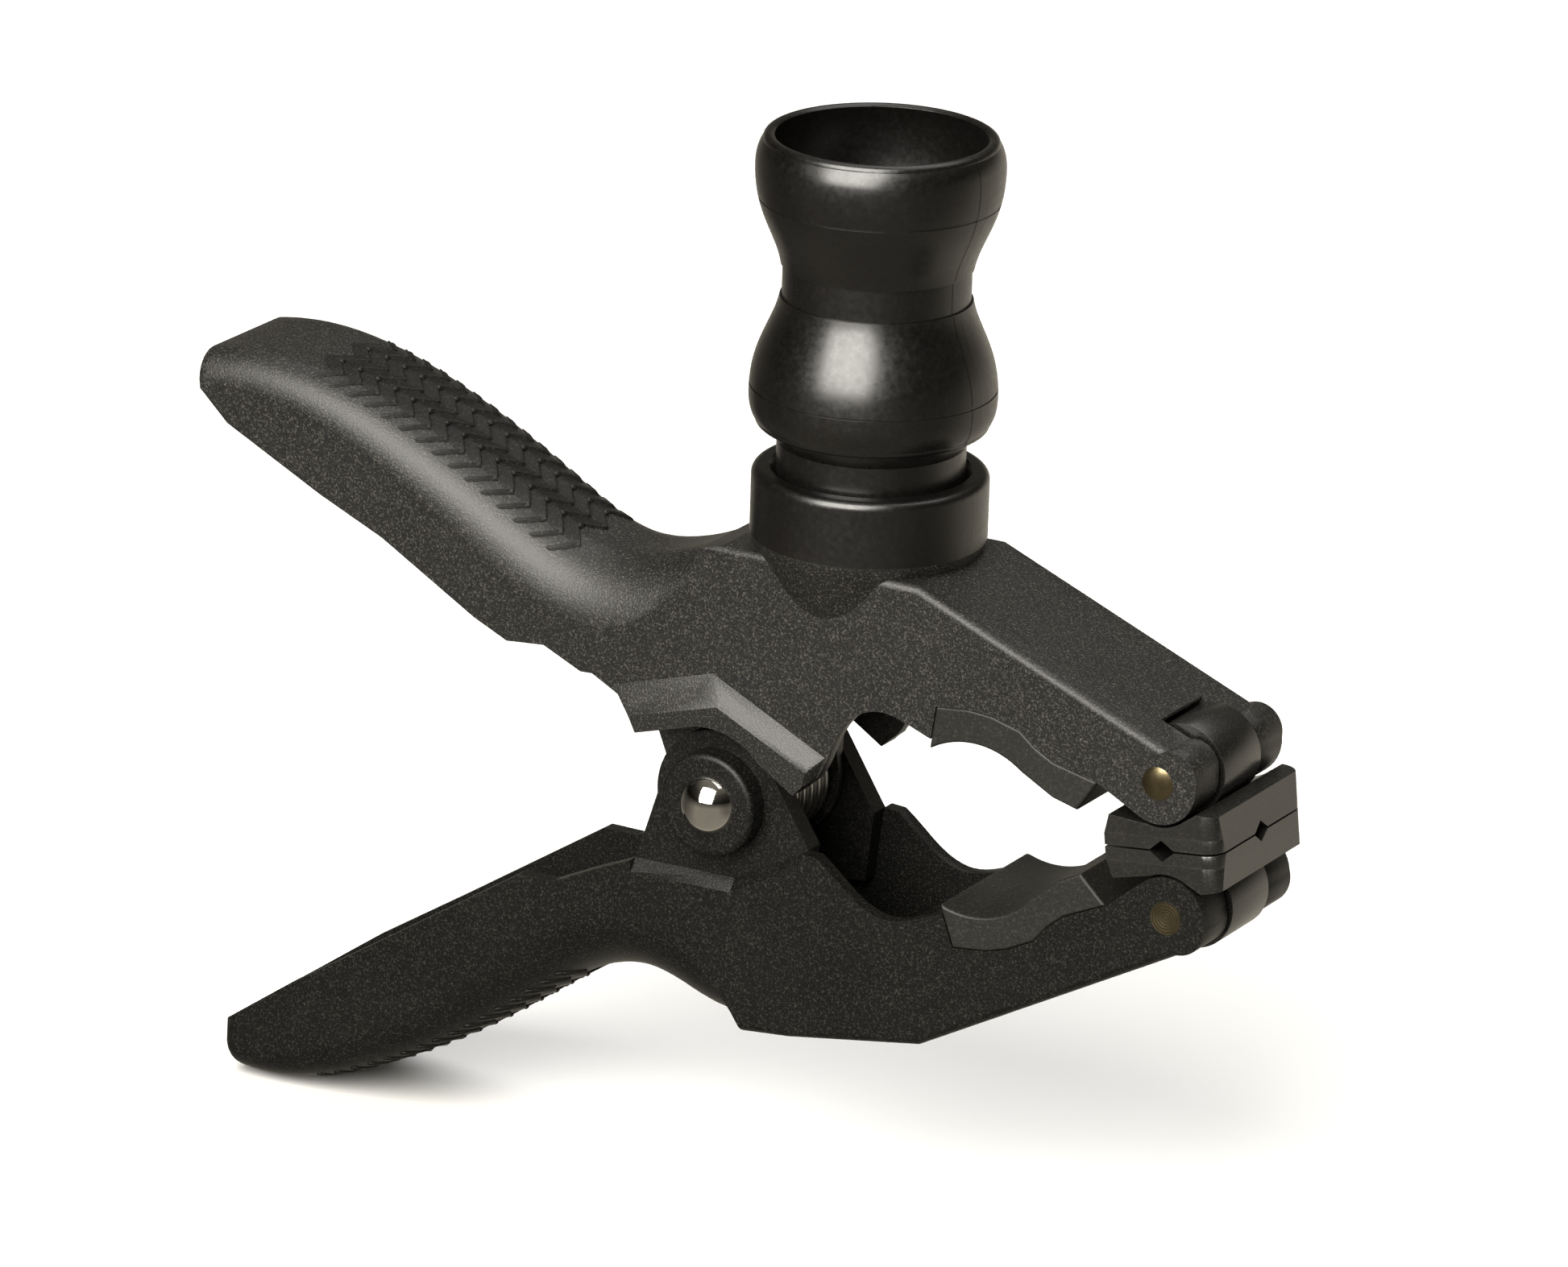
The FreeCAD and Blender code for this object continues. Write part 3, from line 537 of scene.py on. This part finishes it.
def make_beads(name, handle, start, rows, body, material):
    """Small round beads where the zigzags point to the handle's tip."""
    vertices, faces = [], []
    places = [arm * ZIGZAG_HALF for arm in BEAD_ARMS if zigzag(arm * ZIGZAG_HALF) < 0.5]
    for row in range(1, rows + 1):
        for across in places:
            along = start + ROW_PITCH * row + BEAD_AHEAD
            centre = handle.point(along, across, BEAD_LIFT)
            ahead = (handle.point(along + SLOPE_STEP, across, BEAD_LIFT) - centre).normalized()
            beside = (handle.point(along, across + SLOPE_STEP, BEAD_LIFT) - centre).normalized()
            out = ahead.cross(beside).normalized()
            out = out if out.z * handle.side > 0 else -out
            add_dome(vertices, faces, centre, ahead, beside, out)
    mesh_piece(name, vertices, faces, material, body)


def add_dome(vertices, faces, centre, ahead, beside, out):
    """Adds half a ball whose rim lies along the two directions ahead and beside."""
    first = len(vertices)
    for ring in range(BEAD_RINGS):
        angle = math.pi / 2 * ring / BEAD_RINGS
        for segment in range(BEAD_SEGMENTS):
            turn = 2 * math.pi * segment / BEAD_SEGMENTS
            rim = ahead * math.cos(turn) + beside * math.sin(turn)
            vertices.append(centre + rim * BEAD_RADIUS * math.cos(angle)
                            + out * BEAD_RADIUS * math.sin(angle))
    top = len(vertices)
    vertices.append(centre + out * BEAD_RADIUS)
    for ring in range(BEAD_RINGS - 1):
        below = first + ring * BEAD_SEGMENTS
        above = below + BEAD_SEGMENTS
        for segment in range(BEAD_SEGMENTS):
            after = (segment + 1) % BEAD_SEGMENTS
            faces.append((below + segment, below + after, above + after, above + segment))
    last = top - BEAD_SEGMENTS
    for segment in range(BEAD_SEGMENTS):
        faces.append((last + segment, last + (segment + 1) % BEAD_SEGMENTS, top))


# ---------------------------------------------------------------- mould lines

MOULD_LINE_AZIMUTH = 82          # of one line; the other is opposite
MOULD_LINE_STEP = 0.4 * MM
MOULD_LINE_NEAR = 40 * MM        # distance from the piece's axis from which its surface is sought
# a line's cross-section: offset along the surface and height over it
MOULD_LINE_PROFILE = [(-0.14 * MM, -0.05 * MM), (0.0, 0.07 * MM), (0.14 * MM, -0.05 * MM)]


def make_mould_lines(name, node, body, material):
    """Fine upright ridges on two opposite sides of a round piece, where its mould parts."""
    tree = surface(node)
    low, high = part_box(node)
    middle = (low + high) / 2
    steps = int((high.z - low.z) / MOULD_LINE_STEP)
    vertices, faces = [], []
    for azimuth in (MOULD_LINE_AZIMUTH, MOULD_LINE_AZIMUTH + 180):
        out = direction(azimuth, 0)
        along = UP.cross(out)
        faces += grid_faces(len(vertices), steps - 1, len(MOULD_LINE_PROFILE))
        for step in range(1, steps):
            height = low.z + (high.z - low.z) * step / steps
            axis = Vector((middle.x, middle.y, height))
            for offset, lift in MOULD_LINE_PROFILE:
                spot = tree.ray_cast(axis + out * MOULD_LINE_NEAR + along * offset, -out)[0]
                vertices.append(spot + out * lift)
    mesh_piece(name, vertices, faces, material, body)


# ---------------------------------------------------------------- the spring


def make_spring(material):
    """Shows a copy of the CAD spring in spring steel and hides the CAD node. The real spring winds up
    between its legs.

    The upper leg is at the near end of the coil, at -Y, and the lower leg at the far end.
    """
    spring = bpy.data.objects.new("spring_wire", nodes["torsion_spring"].data.copy())
    bpy.context.scene.collection.objects.link(spring)
    spring.data.materials.clear()
    spring.data.materials.append(material)
    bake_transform(spring)
    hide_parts("torsion_spring")


# ---------------------------------------------------------------- camera and studio

CAMERA_AZIMUTH = 30.0
CAMERA_ELEVATION = 19.2
CAMERA_ROLL = 1.8
CAMERA_DISTANCE = 1.353
CAMERA_AIM = Vector((12.8, -9.9, 7.1)) * MM      # from the middle of the CAD box
LENS = 222.0
SENSOR = 36.0
CLIP_START = 0.05
CLIP_END = 50.0

FLOOR_SIZE = 12.0
FLOOR_GAP = 0.0006
FLOOR_CLOUD = 400 * MM
FLOOR_DARK = (0.60, 0.60, 0.595)
FLOOR_LIGHT = (0.63, 0.63, 0.625)
FLOOR_ROUGHNESS = 0.85
FLOOR_CORNERS = [(-1, -1), (1, -1), (1, 1), (-1, 1)]

# The room's brightness along each axis, as (position, level): a pale floor, a dark band over it and
# a soft ceiling, dimmer sides, and a bright backdrop behind.
ROOM_UPWARD = [(0.0, 0.70), (0.44, 0.75), (0.53, 0.40), (0.61, 0.04), (0.8, 0.12), (1.0, 0.5)]
ROOM_SIDEWAYS = [(0.04, 0.3), (0.25, 1.0), (0.85, 1.0), (0.97, 0.5)]
ROOM_BACKWARD = [(0.0, 0.33), (0.45, 0.38), (0.85, 1.0)]
ROOM_TINT = (1.0, 0.97, 0.91)
BACKDROP_WHITE = (1.0, 1.0, 0.995)

WHITE = (1.0, 1.0, 1.0)
WARM_WHITE = (1.0, 0.965, 0.90)


def make_camera(middle):
    data = bpy.data.cameras.new("camera")
    data.lens = LENS
    data.sensor_width = SENSOR
    data.clip_start = CLIP_START
    data.clip_end = CLIP_END
    camera = bpy.data.objects.new("camera", data)
    bpy.context.scene.collection.objects.link(camera)
    back = direction(CAMERA_AZIMUTH, CAMERA_ELEVATION)
    camera.location = middle + CAMERA_AIM + back * CAMERA_DISTANCE
    camera.rotation_mode = "QUATERNION"
    roll = Quaternion((0, 0, 1), math.radians(CAMERA_ROLL))
    camera.rotation_quaternion = back.to_track_quat("Z", "Y") @ roll
    bpy.context.scene.camera = camera


def area_light(name, middle, azimuth, elevation, distance, size, watts, colour=WHITE):
    """A rectangular light that faces the middle of the clamp."""
    data = bpy.data.lights.new(name, "AREA")
    data.shape = "RECTANGLE"
    data.size, data.size_y = size
    data.energy = watts
    data.color = colour
    light = bpy.data.objects.new(name, data)
    bpy.context.scene.collection.objects.link(light)
    towards = direction(azimuth, elevation)
    light.location = middle + towards * distance
    light.rotation_mode = "QUATERNION"
    light.rotation_quaternion = towards.to_track_quat("Z", "Y")
    return light


def make_floor(lowest, middle):
    """A sheet of pale paper just under the clamp, which reflections don't see."""
    half = FLOOR_SIZE / 2
    z = lowest - FLOOR_GAP
    corners = [(middle.x + across * half, middle.y + back * half, z) for across, back in FLOOR_CORNERS]
    mesh = bpy.data.meshes.new("floor")
    mesh.from_pydata(corners, [], [(0, 1, 2, 3)])
    floor = bpy.data.objects.new("floor", mesh)
    bpy.context.scene.collection.objects.link(floor)
    shader = Shader("floor_paper")
    paper = shader.noise(FLOOR_CLOUD)
    shader.link(shader.ramp(paper, FLOOR_DARK, FLOOR_LIGHT), "Base Color")
    shader.set("Roughness", FLOOR_ROUGHNESS)
    mesh.materials.append(shader.material)
    floor.visible_glossy = False


def room_stops(ramp, stops):
    """Sets a colour ramp's stops from (position, level) pairs, in the room's tint."""
    elements = ramp.color_ramp.elements
    while len(elements) < len(stops):
        elements.new(0.5)
    for element, (position, level) in zip(elements, stops):
        element.position = position
        element.color = (*shade(ROOM_TINT, level), 1)


def make_world():
    """White to the eye. Light and reflections see the room instead."""
    world = bpy.data.worlds.new("studio")
    bpy.context.scene.world = world
    world.use_nodes = True
    tree = world.node_tree
    tree.nodes.clear()
    new, join = tree.nodes.new, tree.links.new
    place = new("ShaderNodeTexCoord")
    halve = new("ShaderNodeVectorMath")          # from -1 to 1 each way, to 0 to 1
    halve.operation = "MULTIPLY_ADD"
    halve.inputs[1].default_value = halve.inputs[2].default_value = (0.5, 0.5, 0.5)
    split = new("ShaderNodeSeparateXYZ")
    upward, sideways, backward = (new("ShaderNodeValToRGB") for _ in range(3))
    both, whole = new("ShaderNodeVectorMath"), new("ShaderNodeVectorMath")
    both.operation = whole.operation = "MULTIPLY"
    room, eye = new("ShaderNodeBackground"), new("ShaderNodeBackground")
    rays, mix, out = new("ShaderNodeLightPath"), new("ShaderNodeMixShader"), new("ShaderNodeOutputWorld")
    join(place.outputs["Generated"], halve.inputs[0])
    join(halve.outputs[0], split.inputs[0])
    join(split.outputs["Z"], upward.inputs[0])
    join(split.outputs["X"], sideways.inputs[0])
    join(split.outputs["Y"], backward.inputs[0])
    room_stops(upward, ROOM_UPWARD)
    room_stops(sideways, ROOM_SIDEWAYS)
    room_stops(backward, ROOM_BACKWARD)
    join(upward.outputs[0], both.inputs[0])
    join(sideways.outputs[0], both.inputs[1])
    join(both.outputs[0], whole.inputs[0])
    join(backward.outputs[0], whole.inputs[1])
    join(whole.outputs[0], room.inputs["Color"])
    eye.inputs["Color"].default_value = (*BACKDROP_WHITE, 1)
    join(rays.outputs["Is Camera Ray"], mix.inputs[0])
    join(room.outputs[0], mix.inputs[1])
    join(eye.outputs[0], mix.inputs[2])
    join(mix.outputs[0], out.inputs["Surface"])


def make_studio(low, high):
    middle = (low + high) / 2
    make_camera(middle)
    make_world()
    make_floor(low.z, middle)
    area_light("key", middle, azimuth=2, elevation=37, distance=1.3, size=(1.15, 1.25), watts=62,
               colour=WARM_WHITE)
    area_light("top", middle, azimuth=160, elevation=72, distance=1.5, size=(1.7, 1.1), watts=9)
    fill = area_light("floor_fill", middle, azimuth=180, elevation=55, distance=2.2, size=(2.6, 2.2),
                      watts=55)
    fill.visible_glossy = False
    bpy.context.scene.view_settings.view_transform = "Standard"


# ---------------------------------------------------------------- the clamp

materials = make_materials()
for finish, names in FINISHES.items():
    for name in names:
        dress(materials[finish], name)
for piece, (width, segments) in EDGE_ROUNDING.items():
    for half in ("upper", "lower"):
        soften(f"{half}_{piece}", width, segments)
make_grip("upper", side=1, start=14.0 * MM, rows=15, material=materials["grip_nylon"])
make_grip("lower", side=-1, start=12.0 * MM, rows=16, material=materials["lower_nylon"])
make_mould_lines("socket_mould_line", "double_socket", "socket", materials["stem_acetal"])
make_spring(materials["spring_steel"])
make_studio(cad_low, cad_high)
